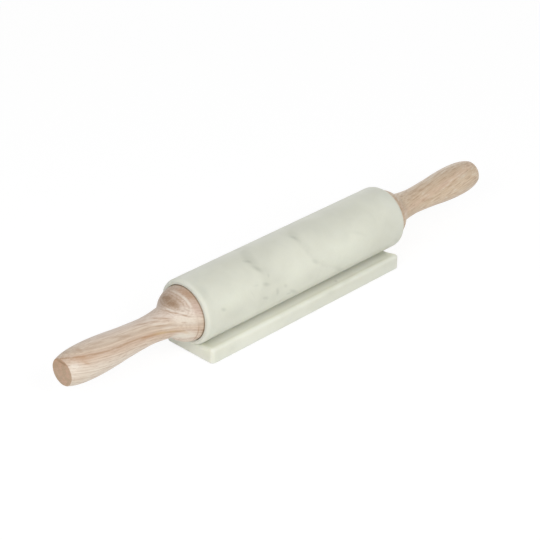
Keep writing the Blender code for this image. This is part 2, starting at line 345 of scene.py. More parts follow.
def handle_line():
    """Corners of the handle's outline: blind hole, socket, plug, dome, grip and end face."""
    corners = [
        (BLIND_X + DRILL_POINT, 0.0, 0.0),
        (BLIND_X, PILOT_RADIUS, 0.0),
        (SHOULDER_X, PILOT_RADIUS, 0.0),
        (SHOULDER_X, SOCKET_RADIUS, 0.0),
        (PLUG_X, SOCKET_RADIUS, SOCKET_EDGE),
        (PLUG_X, BULB_RADIUS, PLUG_CHAMFER),
    ]
    stations = [(DOME_LENGTH * math.sin(math.pi / 2 * i / DOME_STEPS), 0.0) for i in range(DOME_STEPS)]
    for middle in TURNED_LINES:
        stations = [place for place in stations if abs(place[0] - middle) > TURNED_LINE_CLEAR]
        stations += [(middle - TURNED_LINE_HALF, 0.0), (middle, TURNED_LINE_DEPTH)]
        stations.append((middle + TURNED_LINE_HALF, 0.0))
    for along, depth in sorted(stations):
        corners.append((BARREL_HALF + along, dome_radius(along) - depth, 0.0))
    foot = BARREL_HALF + DOME_LENGTH
    reach = HANDLE_END - foot
    knots = [Vector((foot + share * reach, radius * GRIP_RADIUS)) for share, radius in GRIP_PROFILE]
    slopes = [DOME_FOOT_SLOPE]
    for i in range(1, len(knots)):
        rise = knots[min(i + 1, len(knots) - 1)] - knots[i - 1]
        slopes.append(rise.y / rise.x)
    for i, (one, two) in enumerate(zip(knots, knots[1:])):
        third = (two.x - one.x) / 3
        leave = one + Vector((third, third * slopes[i]))
        arrive = two - Vector((third, third * slopes[i + 1]))
        for point in interpolate_bezier(one, leave, arrive, two, GRIP_STEPS + 1)[:-1]:
            corners.append((point.x, point.y, 0.0))
    corners.append((knots[-1].x, knots[-1].y, 0.0))
    corners.append((HANDLE_END, knots[-1].y - RIM_SLACK, END_ROUNDING))
    corners.append((HANDLE_END, 0.0, 0.0))
    return corners


def shape_handle(side, turn):
    bm = bmesh.new()
    add_turned(bm, handle_line(), HANDLE_SIDES)
    finish_shape(bm, turn)
    return add_piece(f"turned_handle_{side}", bm, f"handle_{side}")


def shape_cradle():
    bm = bmesh.new()
    low = CRADLE_LOW
    high = Vector((CRADLE_HIGH.x, CRADLE_HIGH.y, CRADLE_RIM_Z))
    bmesh.ops.create_cube(bm, size=1.0)
    bmesh.ops.scale(bm, verts=bm.verts, vec=high - low)
    bmesh.ops.translate(bm, verts=bm.verts, vec=(low + high) / 2)
    upright = [edge for edge in bm.edges if abs(edge.verts[0].co.z - edge.verts[1].co.z) > GAP]
    round_edges(bm, upright, CRADLE_CORNER)
    for height, rounding in ((high.z, CRADLE_TOP_EDGE), (low.z, CRADLE_LOW_EDGE)):
        rim = [edge for edge in bm.edges if all(abs(vert.co.z - height) < SAME_POINT for vert in edge.verts)]
        round_edges(bm, rim, rounding)
    for i in range(1, TROUGH_SLICES):
        y = low.y + (high.y - low.y) * i / TROUGH_SLICES
        whole = bm.verts[:] + bm.edges[:] + bm.faces[:]
        bmesh.ops.bisect_plane(bm, geom=whole, dist=SAME_POINT, plane_co=(0, y, 0), plane_no=(0, 1, 0))
    middle = (low.z + high.z) / 2
    rim = math.sqrt(TROUGH_RADIUS ** 2 - high.y ** 2)
    for vert in bm.verts:
        if vert.co.z > middle:
            vert.co.z += rim - math.sqrt(TROUGH_RADIUS ** 2 - vert.co.y ** 2)
    finish_shape(bm, lift=0.0)
    return add_piece("cradle_marble", bm, "cradle", even_flats=True)


def round_edges(bm, edges, rounding):
    bmesh.ops.bevel(
        bm, geom=edges, offset=rounding, offset_type="OFFSET", segments=ROUNDING_STEPS,
        profile=0.5, affect="EDGES", clamp_overlap=True, material=-1,
    )


def shape_pad(number):
    """A round pad with two shallow grooves in the face it stands on."""
    node = f"pad_{number}"
    low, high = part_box(node)
    bm = bmesh.new()
    corners = [(0.0, 0.0, 0.0)]
    for middle in PAD_GROOVES:
        corners += [
            (0.0, middle - PAD_GROOVE_MOUTH, PAD_GROOVE_EDGE),
            (PAD_GROOVE_DEPTH, middle - PAD_GROOVE_FLOOR, PAD_GROOVE_EDGE),
            (PAD_GROOVE_DEPTH, middle + PAD_GROOVE_FLOOR, PAD_GROOVE_EDGE),
            (0.0, middle + PAD_GROOVE_MOUTH, PAD_GROOVE_EDGE),
        ]
    corners += [(0.0, PAD_RADIUS, PAD_EDGE), (high.z, PAD_RADIUS, PAD_EDGE), (high.z, 0.0, 0.0)]
    add_turned(bm, corners, SMALL_SIDES)
    bmesh.ops.rotate(bm, verts=bm.verts, cent=(0, 0, 0), matrix=Matrix.Rotation(-math.pi / 2, 3, "Y"))
    bmesh.ops.translate(bm, verts=bm.verts, vec=((low.x + high.x) / 2, (low.y + high.y) / 2, 0))
    finish_shape(bm, lift=0.0)
    return add_piece(f"rubber_{node}", bm, node, even_flats=True)


def shape_rod():
    """The rod, threaded at both ends: one end is shaped, copied and turned about, then both are joined."""
    bm = bmesh.new()
    thread_end = THREAD_START + PITCH * (THREAD_TURNS + 1)
    thread_low = THREAD_START - THREAD_RUN_OUT
    thread_high = thread_end + THREAD_RUN_OUT
    tip = [(thread_high, ROD_ROOT, 0.0), (ROD_HIGH.x, ROD_TIP, 0.0), (ROD_HIGH.x, 0.0, 0.0)]
    add_turned(bm, tip, THREAD_SIDES)
    add_thread(bm, THREAD_START, THREAD_TURNS, ROD_RADIUS, ROD_ROOT, thread_low, thread_high, THREAD_SIDES)
    run_in = thread_low - (ROD_RADIUS - ROD_ROOT)
    add_turned(bm, [(thread_low, ROD_ROOT, 0.0), (run_in, ROD_RADIUS, 0.0)], THREAD_SIDES)
    half = bm.verts[:] + bm.edges[:] + bm.faces[:]
    copy = bmesh.ops.duplicate(bm, geom=half)
    moved = [thing for thing in copy["geom"] if isinstance(thing, bmesh.types.BMVert)]
    bmesh.ops.rotate(bm, verts=moved, cent=(0, 0, 0), matrix=Matrix.Rotation(math.pi, 3, "Z"))
    middle = [(run_in * (1 - 2 * i / ROD_CUTS), ROD_RADIUS, 0.0) for i in range(ROD_CUTS + 1)]
    add_turned(bm, middle, THREAD_SIDES)
    finish_shape(bm)
    return add_piece("steel_rod", bm, "axle_rod")


def shape_bush(side, turn):
    bm = bmesh.new()
    low, high = BUSH_LOW.x, BUSH_HIGH.x
    flange = high - BUSH_FLANGE
    corners = [
        (low, BUSH_HOLE, BUSH_HOLE_EDGE),
        (high, BUSH_HOLE, BUSH_HOLE_EDGE),
        (high, BUSH_HIGH.y, BUSH_FRONT_RIM),
        (flange, BUSH_HIGH.y, BUSH_BACK_RIM),
        (flange, BUSH_BODY, 0.0),
        (low + BUSH_LEAD, BUSH_BODY, 0.0),
        (low, BUSH_BODY - BUSH_LEAD_DEPTH, BUSH_LEAD_EDGE),
    ]
    add_turned(bm, corners, SMALL_SIDES, closed=True)
    finish_shape(bm, turn)
    return add_piece(f"nylon_bush_{side}", bm, f"bush_{side}", even_flats=True)


def shape_washer(side, turn):
    bm = bmesh.new()
    low, high, outer = WASHER_LOW.x, WASHER_HIGH.x, WASHER_HIGH.y
    corners = [
        (low, WASHER_HOLE, WASHER_HOLE_EDGES[0]),
        (high, WASHER_HOLE, WASHER_HOLE_EDGES[1]),
        (high, outer, WASHER_RIM_EDGES[1]),
        (low, outer, WASHER_RIM_EDGES[0]),
    ]
    add_turned(bm, corners, SMALL_SIDES, closed=True)
    finish_shape(bm, turn)
    return add_piece(f"steel_washer_{side}", bm, f"washer_{side}", even_flats=True)


def thread_in_hole(bm, low, high, sides):
    """Countersinks and threads a hole from low to high so that the rod's thread runs in it."""
    inner_low, inner_high = low + COUNTERSINK_DEPTH, high - COUNTERSINK_DEPTH
    first = THREAD_START + PITCH / 2
    first += PITCH * math.ceil((inner_low - first) / PITCH)
    turns = math.floor((inner_high - first) / PITCH) - 1
    add_thread(bm, first, turns, HOLE_CREST, HOLE_ROOT, inner_low, inner_high, sides)
    add_turned(bm, [(low, COUNTERSINK, 0.0), (inner_low, HOLE_ROOT, 0.0)], sides)
    add_turned(bm, [(high, COUNTERSINK, 0.0), (inner_high, HOLE_ROOT, 0.0)], sides)


def shape_nut(side, turn):
    bm = bmesh.new()
    low, high = NUT_LOW.x, NUT_HIGH.x
    corner = NUT_HALF_FLATS / math.cos(math.pi / 6)
    face = corner - NUT_CHAMFER * math.sqrt(3)
    corners = [
        (low, COUNTERSINK, 0.0),
        (low, face, 0.0),
        (low + NUT_CHAMFER, corner, 0.0),
        (high - NUT_CHAMFER, corner, 0.0),
        (high, face, 0.0),
        (high, COUNTERSINK, 0.0),
    ]
    add_turned(bm, corners, THREAD_SIDES)
    bmesh.ops.remove_doubles(bm, verts=bm.verts, dist=SAME_POINT)
    for i in range(6):
        angle = math.pi / 6 + math.pi / 3 * i
        away = Vector((0.0, math.sin(angle), math.cos(angle)))
        whole = bm.verts[:] + bm.edges[:] + bm.faces[:]
        cut = bmesh.ops.bisect_plane(
            bm, geom=whole, dist=SAME_POINT, plane_co=away * NUT_HALF_FLATS, plane_no=away, clear_outer=True,
        )
        rim = [edge for edge in cut["geom_cut"] if isinstance(edge, bmesh.types.BMEdge)]
        bmesh.ops.holes_fill(bm, edges=rim)
    thread_in_hole(bm, low, high, THREAD_SIDES)
    finish_shape(bm, turn)
    return add_piece(f"steel_nut_{side}", bm, f"nut_{side}", even_flats=True)


def shape_insert(side, turn):
    bm = bmesh.new()
    low, high = INSERT_LOW.x, INSERT_HIGH.x
    band = (high - low) / INSERT_BANDS
    groove = INSERT_RADIUS - INSERT_GROOVE
    corners = [(low, COUNTERSINK, 0.0), (low, groove, 0.0)]
    for i in range(INSERT_BANDS):
        start = low + band * i
        corners.append((start + INSERT_GROOVE, INSERT_RADIUS, 0.0))
        corners.append((start + band - INSERT_GROOVE, INSERT_RADIUS, 0.0))
        corners.append((start + band, groove, 0.0))
    corners.append((high, COUNTERSINK, 0.0))
    add_turned(bm, corners, SMALL_SIDES)
    for vert in bm.verts:
        reach = math.hypot(vert.co.y, vert.co.z)
        tooth = round(math.atan2(vert.co.y, vert.co.z) / math.tau * SMALL_SIDES)
        if reach > groove + GAP and tooth % 2:
            vert.co.y *= 1 - KNURL_DEPTH / reach
            vert.co.z *= 1 - KNURL_DEPTH / reach
    thread_in_hole(bm, low, high, SMALL_SIDES)
    finish_shape(bm, turn)
    return add_piece(f"brass_insert_{side}", bm, f"insert_{side}")


def joined(operation, swapped=False):
    """A Python operator that adds one Math node."""
    def method(self, other):
        terms = (other, self) if swapped else (self, other)
        return self.finish.maths(operation, *terms)
    return method


class Value:
    """One output of a node. Sums with it add Math nodes."""

    def __init__(self, finish, socket):
        self.finish = finish
        self.socket = socket

    __add__, __radd__ = joined("ADD"), joined("ADD", True)
    __sub__, __rsub__ = joined("SUBTRACT"), joined("SUBTRACT", True)
    __mul__, __rmul__ = joined("MULTIPLY"), joined("MULTIPLY", True)
    __truediv__, __rtruediv__ = joined("DIVIDE"), joined("DIVIDE", True)


class Finish:
    """A material, or the world, put together from nodes."""

    def __init__(self, owner):
        self.owner = owner
        self.owner.use_nodes = True
        self.tree = self.owner.node_tree
        self.tree.nodes.clear()

    def node(self, kind, settings=None, sockets=None, result=0):
        """Adds a node: settings first, then the values or links of its sockets. Gives one output."""
        node = self.tree.nodes.new("ShaderNode" + kind)
        for name, value in (settings or {}).items():
            if name == "stops":
                set_stops(node.color_ramp, value)
            elif name == "bends":
                set_bends(node.mapping, value)
            else:
                setattr(node, name, value)
        for name, value in (sockets or {}).items():
            if isinstance(value, Value):
                self.tree.links.new(value.socket, node.inputs[name])
            else:
                node.inputs[name].default_value = value
        return Value(self, node.outputs[result])

    def maths(self, operation, *terms):
        return self.node("Math", {"operation": operation}, dict(enumerate(terms)))

    def vector(self, operation, sockets, result=0):
        return self.node("VectorMath", {"operation": operation}, sockets, result)

    def apart(self, vector):
        """The X, Y and Z of a vector."""
        first = self.node("SeparateXYZ", None, {"Vector": vector})
        return [Value(self, output) for output in first.socket.node.outputs]

    def stretched(self, vector, scale, shift=(0.0, 0.0, 0.0)):
        sockets = {"Vector": vector, "Location": shift, "Scale": scale}
        return self.node("Mapping", {"vector_type": "POINT"}, sockets)

    def millimetres(self, centre=(0.0, 0.0, 0.0)):
        """Object coordinates in millimetres from a centre."""
        place = self.node("TexCoord", result="Object")
        return self.stretched(place, [1.0 / MM] * 3, [-along / MM for along in centre])

    def noise(self, vector, size, detail, roughness, distortion=0.0):
        """Soft noise from 0 to 1 whose patches are about size across."""
        sockets = {"Vector": vector, "Scale": 1.0 / size, "Detail": detail, "Roughness": roughness}
        sockets["Distortion"] = distortion
        return self.node("TexNoise", {"noise_dimensions": "3D"}, sockets)

    def step(self, value, start, end, low=0.0, high=1.0):
        """A smooth step from low at start to high at end."""
        sockets = {"Value": value, "From Min": start, "From Max": end, "To Min": low, "To Max": high}
        return self.node("MapRange", {"interpolation_type": "SMOOTHSTEP", "clamp": True}, sockets)

    def mixed(self, share, one, two):
        """Colour one with a share of colour two."""
        settings = {"data_type": "RGBA", "blend_type": "MIX", "clamp_factor": True}
        return self.node("Mix", settings, {0: share, 6: one, 7: two}, result=2)

    def bump(self, height, strength, depth):
        return self.node("Bump", None, {"Height": height, "Strength": strength, "Distance": depth})

    def end_on(self):
        """1 where a face looks straight along the pin, 0 where it looks across it."""
        facing = self.node("NewGeometry", result="Normal")
        return self.maths("ABSOLUTE", self.apart(facing)[0])

    def surface(self, **inputs):
        """The shader itself and the material's output."""
        sockets = {name.replace("_", " "): value for name, value in inputs.items()}
        self.output(self.node("BsdfPrincipled", None, sockets))

    def output(self, shader, kind="OutputMaterial"):
        last = self.tree.nodes.new("ShaderNode" + kind)
        self.tree.links.new(shader.socket, last.inputs["Surface"])


def set_stops(ramp, stops):
    """Sets a colour ramp to (place, colour) stops."""
    while len(ramp.elements) > 1:
        ramp.elements.remove(ramp.elements[-1])
    for i, (place, colour) in enumerate(stops):
        stop = ramp.elements[0] if i == 0 else ramp.elements.new(place)
        stop.position = place
        stop.color = colour


def set_bends(mapping, points):
    """Sets a curve to pass through (in, out) points."""
    curve = mapping.curves[0]
    while len(curve.points) > 2:
        curve.points.remove(curve.points[1])
    for i, (place, value) in enumerate(points):
        point = curve.points[i] if i < 2 else curve.points.new(place, value)
        point.location = (place, value)
        point.handle_type = "AUTO_CLAMPED"
    mapping.update()


def shade(red, green, blue):
    """A linear colour from the 0 to 255 values that a screen shows."""
    channels = []
    for level in (red, green, blue):
        share = level / 255
        channels.append(share / 12.92 if share <= 0.04045 else ((share + 0.055) / 1.055) ** 2.4)
    return (*channels, 1.0)


# Marble's colours: the pale and the deep tone of each slab of stone, then what lies in and on it, with the
# trough's painted light and the painted shade of the barrel's ends
BARREL_TONES = (shade(227, 228, 214), shade(218, 219, 205))
CRADLE_TONES = (shade(235, 236, 224), shade(226, 227, 214))
# Painted light: the trough is painted this paler colour where the barrel shades it
TROUGH_PAINTED_LIGHT = shade(250, 250, 243)
MARBLE_CLEAR = shade(243, 246, 231)
# The veils' grey, also used for the painted shade of the barrel's ends
MARBLE_VEIL_AND_SHADE = shade(170, 172, 156)
MARBLE_SMUDGE = shade(118, 126, 106)
MARBLE_GRAIN = (shade(196, 197, 186), shade(246, 246, 238))
GRAIN_SHARE = 0.06
# Painted shade: share of grey painted on the barrel's ends
END_PAINTED_SHADE = 0.13

# Noise in the stone: size in millimetres, detail, roughness, distortion
STONE_BROAD = (60.0, 2.0, 0.5, 0.2)
STONE_CLOUDS = (22.0, 4.0, 0.55, 0.5)
STONE_HONING = (9.0, 3.0, 0.5)
STONE_GRAIN = (0.6, 3.0, 0.6)
RAGGED_FINE = (1.5, 4.0, 0.65, 0.5)
RAGGED_BROAD = (9.0, 4.0, 0.6, 0.3)
VEIL_WAVER = (6.0, 4.0, 0.6)
VEIL_PATCHES = (12.0, 4.0, 0.6, 0.6)

# Painted light in the trough, in millimetres: half its width, its fade at the sides and ends, its fade below
# the rim
TROUGH_SIDE = 25.5
TROUGH_SIDE_FADE = 3.5
TROUGH_END_FADE = (3.0, 22.0)
TROUGH_LOW_FADE = (6.0, 4.5)
TROUGH_LIGHT_SHARE = 0.7

# Smudges: how soft, wide and deep they are, and the darkest they get together
SMUDGE_SOFTNESS = 1.8
SMUDGE_REACH = 1.35
SMUDGE_DEPTH = 0.36
DEEPEST = 0.62

# Veils in millimetres: farthest from the barrel's middle, widest fade, sharp side, how far that wavers
VEIL_REACH = 150.0
VEIL_WIDEST = 40.0
VEIL_EDGE = (-3.2, 3.0)
WAVER_REACH = 4.0
VEIL_DEPTH = 0.30
VEIL_BEHIND = 0.3

# Veils on the barrel, along the sharp side of each: pixel, strength, millimetres of fading to the right
BARREL_VEILS = (
    (
        ((240.0, 250.6), 0.75, 16.0), ((244.5, 259.5), 1.0, 15.0), ((252.0, 267.0), 1.0, 13.0),
        ((260.0, 274.0), 0.75, 16.0), ((263.0, 283.0), 0.4, 26.0), ((259.0, 297.0), 0.4, 30.0),
    ),
    (
        ((287.0, 229.5), 0.6, 16.0), ((291.0, 236.5), 0.8, 13.0), ((300.0, 245.0), 0.7, 12.0),
        ((311.0, 258.0), 0.65, 12.0), ((322.0, 266.0), 0.5, 13.0), ((336.0, 271.0), 0.35, 15.0),
    ),
)
# Smudges in the stone: from one photographed pixel to another, half width in millimetres, strength
BARREL_SMUDGES = (
    ((244.8, 261.2), (249.6, 262.0), 1.2, 0.60),
    ((255.0, 267.8), (260.0, 270.2), 1.6, 0.60),
    ((246.0, 255.0), (253.0, 263.0), 3.4, 0.20),
    ((264.0, 284.0), (268.5, 284.6), 1.1, 0.60),
    ((277.3, 289.8), (277.8, 293.6), 1.3, 0.50),
    ((263.2, 298.0), (267.6, 298.2), 1.1, 0.50),
    ((285.0, 285.2), (286.4, 286.2), 1.0, 0.40),
    ((290.6, 290.4), (296.2, 291.8), 1.2, 0.60),
    ((286.8, 293.8), (290.4, 293.2), 0.9, 0.45),
    ((268.2, 274.6), (268.4, 276.4), 0.9, 0.35),
    ((254.6, 286.0), (258.4, 285.0), 0.7, 0.25),
    ((222.2, 309.4), (225.0, 309.8), 1.0, 0.55),
    ((250.5, 290.5), (254.4, 297.5), 0.6, 0.18),
    ((290.0, 236.4), (299.0, 240.6), 1.5, 0.36),
    ((291.5, 236.6), (295.5, 238.2), 1.2, 0.30),
    ((313.4, 260.8), (317.0, 262.6), 1.3, 0.42),
    ((335.0, 267.6), (343.0, 270.4), 1.5, 0.30),
    ((193.0, 286.0), (201.0, 292.0), 3.4, 0.22),
    ((203.0, 290.0), (206.0, 297.0), 2.8, 0.18),
    ((350.0, 231.5), (366.0, 235.0), 1.2, 0.16),
    ((355.0, 214.0), (371.0, 223.0), 7.0, 0.12),
    ((325.0, 231.0), (341.0, 236.0), 6.0, 0.11),
)
# Clear, paler places in the barrel's stone, given in the same way
BARREL_CLEARINGS = (
    ((226.0, 303.0), (240.0, 297.0), 11.0, 0.36),
    ((290.0, 276.0), (308.0, 268.0), 11.0, 0.32),
    ((333.0, 255.0), (362.0, 244.0), 20.0, 0.42),
)
CRADLE_SMUDGES = (
    ((335.0, 280.8), (336.6, 281.4), 0.8, 0.60),
    ((328.0, 293.5), (334.0, 290.5), 2.0, 0.24),
    ((343.0, 282.5), (351.0, 278.5), 2.2, 0.28),
    ((303.0, 312.0), (309.0, 309.5), 2.0, 0.17),
    ((286.0, 321.0), (292.0, 318.0), 2.0, 0.14),
    ((229.5, 350.0), (234.0, 348.0), 2.2, 0.26),
    # Darker at the far end of the slab's front face
    ((387.0, 265.0), (394.0, 262.0), 5.0, 0.24),
)


def away_from_smudge(finish, place, centre, piece, first, last, half_width):
    """0 in the middle of a long patch between two pixels of a piece, 1 along its rim, more outside it."""
    one, two = seen_at(piece, first), seen_at(piece, last)
    middle = ((one + two) / 2 - centre) / MM
    length = (two - one) / MM
    turn = length.to_track_quat("X", "Z").to_euler()
    size = (length.length / 2 + half_width, half_width, half_width)
    sockets = {"Vector": place, "Location": middle, "Rotation": turn, "Scale": size}
    away = finish.node("Mapping", {"vector_type": "TEXTURE"}, sockets)
    return finish.vector("LENGTH", {0: away}, result=1)


def inside_smudge(finish, place, centre, piece, first, last, half_width, ragged):
    """1 in the middle of a smudge that runs from one pixel of a piece to another, 0 outside it."""
    away = away_from_smudge(finish, place, centre, piece, first, last, half_width)
    return finish.step(away + ragged, SMUDGE_REACH, 0.0)


def stone_ground(finish, place, pale, deep):
    """Broad, faint clouds of the stone."""
    broad = finish.noise(place, *STONE_BROAD)
    clouds = finish.noise(place, *STONE_CLOUDS)
    return finish.mixed(finish.step(broad * 0.6 + clouds * 0.4, 0.36, 0.64), pale, deep)


def paint_trough_light(finish, colour, place):
    """The trough is painted a shade paler than the sides of the slab: painted light where the barrel shades
    it.
    """
    x, y, z = finish.apart(place)
    near_end, far_in = [CRADLE_HIGH.x / MM - fade for fade in TROUGH_END_FADE]
    low, high = [CRADLE_RIM_Z / MM - fade for fade in TROUGH_LOW_FADE]
    inner = finish.step(finish.maths("ABSOLUTE", y), TROUGH_SIDE, TROUGH_SIDE - TROUGH_SIDE_FADE)
    between = finish.step(finish.maths("ABSOLUTE", x), near_end, far_in)
    top = finish.step(z, low, high)
    return finish.mixed(inner * between * top * TROUGH_LIGHT_SHARE, colour, TROUGH_PAINTED_LIGHT)


def add_smudges(finish, colour, place, piece, smudges, clearings):
    """Paler clearings first, then dark smudges with ragged edges, no darker together than the deepest."""
    fine = finish.noise(place, *RAGGED_FINE) - 0.5
    broad = finish.noise(place, *RAGGED_BROAD) - 0.5
    ragged = fine * 0.9 + broad * 0.6
    middle = Vector()
    for first, last, half_width, strength in clearings:
        inside = inside_smudge(finish, place, middle, piece, first, last, half_width, ragged)
        colour = finish.mixed(inside * strength, colour, MARBLE_CLEAR)
    total = 0.0
    for first, last, half_width, strength in smudges:
        soft = half_width * SMUDGE_SOFTNESS
        inside = inside_smudge(finish, place, middle, piece, first, last, soft, ragged)
        total = total + inside * (strength * SMUDGE_DEPTH)
    return finish.mixed(finish.maths("MINIMUM", total, DEEPEST), colour, MARBLE_SMUDGE)


def add_veil(finish, colour, place, piece, path):
    """A grey veil with one sharp side along the photographed path. It closes faintly round the back."""
    spots = [seen_at(piece, pixel) for pixel, strength, fade in path]
    angles = [math.atan2(spot.z - AXIS_Z, spot.y) for spot in spots]
    start = angles[0]
    turns = [(angle - start) % math.tau / math.tau for angle in angles]
    lines = [(turn, 0.5 + spot.x / MM / VEIL_REACH / 2) for turn, spot in zip(turns, spots)]
    strengths = [(turn, strength) for turn, (pixel, strength, fade) in zip(turns, path)]
    fades = [(turn, fade / VEIL_WIDEST) for turn, (pixel, strength, fade) in zip(turns, path)]
    lines.append((1.0, lines[0][1]))
    strengths += [((turns[-1] + 1.0) / 2, VEIL_BEHIND), (1.0, strengths[0][1])]
    fades.append((1.0, fades[0][1]))
    x, y, z = finish.apart(place)
    angle = finish.maths("ARCTAN2", z - AXIS_Z / MM, y)
    turn = finish.maths("WRAP", (angle - start) / math.tau, 1.0, 0.0)
    line = (finish.node("FloatCurve", {"bends": lines}, {"Value": turn}) - 0.5) * (2 * VEIL_REACH)
    strength = finish.node("FloatCurve", {"bends": strengths}, {"Value": turn})
    fade = finish.node("FloatCurve", {"bends": fades}, {"Value": turn}) * VEIL_WIDEST
    waver = finish.noise(place, *VEIL_WAVER) - 0.5
    away = x - line + waver * WAVER_REACH
    patchy = finish.step(finish.noise(place, *VEIL_PATCHES), 0.30, 0.62, 0.45, 1.0)
    veil = finish.step(away, *VEIL_EDGE) * finish.step(away / fade, 1.0, 0.0)
    return finish.mixed(veil * patchy * strength * VEIL_DEPTH, colour, MARBLE_VEIL_AND_SHADE)


def marble_finish(name, piece, tones, veils, smudges, clearings=(), trough=False):
    """Honed marble. The ends of the barrel are painted a little greyer than its side: painted shade."""
    finish = Finish(bpy.data.materials.new(name))
    place = finish.millimetres()
    colour = stone_ground(finish, place, *tones)
    # Painted light on the trough, which the barrel shades
    if trough:
        colour = paint_trough_light(finish, colour, place)
    for path in veils:
        colour = add_veil(finish, colour, place, piece, path)
    colour = add_smudges(finish, colour, place, piece, smudges, clearings)
    # Painted shade: the barrel's ends, which look along the pin, are painted greyer
    if not trough:
        painted_end_shade = finish.step(finish.end_on(), 0.85, 1.0)
        colour = finish.mixed(painted_end_shade * END_PAINTED_SHADE, colour, MARBLE_VEIL_AND_SHADE)
    grain = finish.noise(place, *STONE_GRAIN)
    colour = finish.mixed(GRAIN_SHARE, colour, finish.mixed(grain, *MARBLE_GRAIN))
    honing = finish.noise(place, *STONE_HONING)
    roughness = honing * 0.12 + grain * 0.06 + 0.38
    normal = finish.bump(grain + honing * 0.4, 0.25, 0.03 * MM)
    finish.surface(
        Base_Color=colour, Roughness=roughness, Normal=normal, IOR=1.5, Subsurface_Weight=0.6,
        Subsurface_Radius=(1.0, 0.95, 0.85), Subsurface_Scale=8.0 * MM,
    )
    piece.data.materials.append(finish.owner)


# The wood's colours
WOOD_LINE = shade(168, 134, 106)
WOOD_PORE = shade(150, 118, 92)
WOOD_END = shade(176, 144, 112)
WOOD_END_ROSY = shade(192, 153, 124)
WOOD_DARK = shade(126, 88, 40)
WOOD_RUSSET = shade(160, 112, 68)
WOOD_ORANGE = shade(178, 132, 92)
WOOD_ROSE = shade(182, 146, 130)
WOOD_WHITISH = shade(232, 226, 214)
WOOD_GOLDEN = shade(206, 178, 138)

# The wood's tones across the grain, from one side of the blank to the other, in millimetres
LEFT_TONES = (
    (-32.0, shade(220, 206, 188)), (-23.0, shade(227, 214, 198)), (-18.0, shade(222, 206, 189)),
    (-14.5, shade(216, 195, 175)), (-11.8, shade(209, 185, 164)), (-10.2, shade(184, 152, 125)),
    (-9.0, shade(210, 188, 168)), (-7.0, shade(216, 197, 177)), (-5.0, shade(199, 178, 158)),
    (-3.0, shade(217, 200, 181)), (0.0, shade(220, 203, 186)), (4.0, shade(219, 203, 189)),
    (14.0, shade(208, 190, 174)),
)
RIGHT_TONES = (
    (-20.0, shade(213, 191, 164)), (-9.0, shade(220, 198, 171)), (-3.0, shade(210, 187, 159)),
    (1.0, shade(218, 193, 168)), (6.0, shade(209, 186, 159)), (20.0, shade(216, 196, 171)),
)
TONE_SPAN = 36.0
LINE_SPACING = 2.3
GRAIN_SLANT = math.radians(60)

# Noise in the wood: squeezed along the grain by so much, size in millimetres, detail, roughness
BENDS = (0.25, 18.0, 2.0, 0.5)
JITTER = (0.04, 2.2, 3.0, 0.55)
FIBRES = (0.04, 1.0, 3.0, 0.6)
FLECKS = (0.12, 1.7, 3.0, 0.6)
PORES = (0.11, 0.42, 1.0, 0.4)
BEND_REACH = 3.0
JITTER_REACH = 1.6
FIBRE_SHARE = 0.35
PORE_SHARE = 0.4

# Flat ends: noise as above but not squeezed, and how much of it shows
END_PATCHES = (5.0, 2.0, 0.5)
END_SPECKS = (0.7, 2.0, 0.6)
END_SHARE = 0.80

# Painted shade in the turned line, more of it below, and painted shade where the dome meets the barrel, in
# millimetres
LINE_PAINTED_SHADE = (0.9, 0.1)
LINE_PAINTED_SHADE_BELOW = (4.0, -8.0, 0.08, 0.5)
ROOT_PAINTED_SHADE = (1.2, 0.2)
ROOT_PAINTED_SHADE_SHARE = 0.4

# How far the grain of each handle climbs across the blank on its way out from the barrel, in millimetres
LEFT_CLIMB = (
    (0, -8.0), (10, -3.8), (17, -1.2), (27, 2.2), (38, 5.2), (50, 7.4), (66, 9.4), (85, 10.9), (102, 13.2),
    (118, 16.6), (134, 22.0),
)
RIGHT_CLIMB = ((0, -8.0), (70, 0.0), (134, 8.0))
CLIMB_SPAN = 24.0
ALONG_SPAN = 140.0

# The left dome's figure lies in long rings round the patch between these two pixels of the photograph
SWIRL = ((164.0, 298.5), (177.0, 306.0), 4.0)
SWIRL_RING = 0.62
SWIRL_REACH = 3.4
SWIRL_WARP = (5.0, 2.0, 0.5)
SWIRL_DEPTH = 0.40
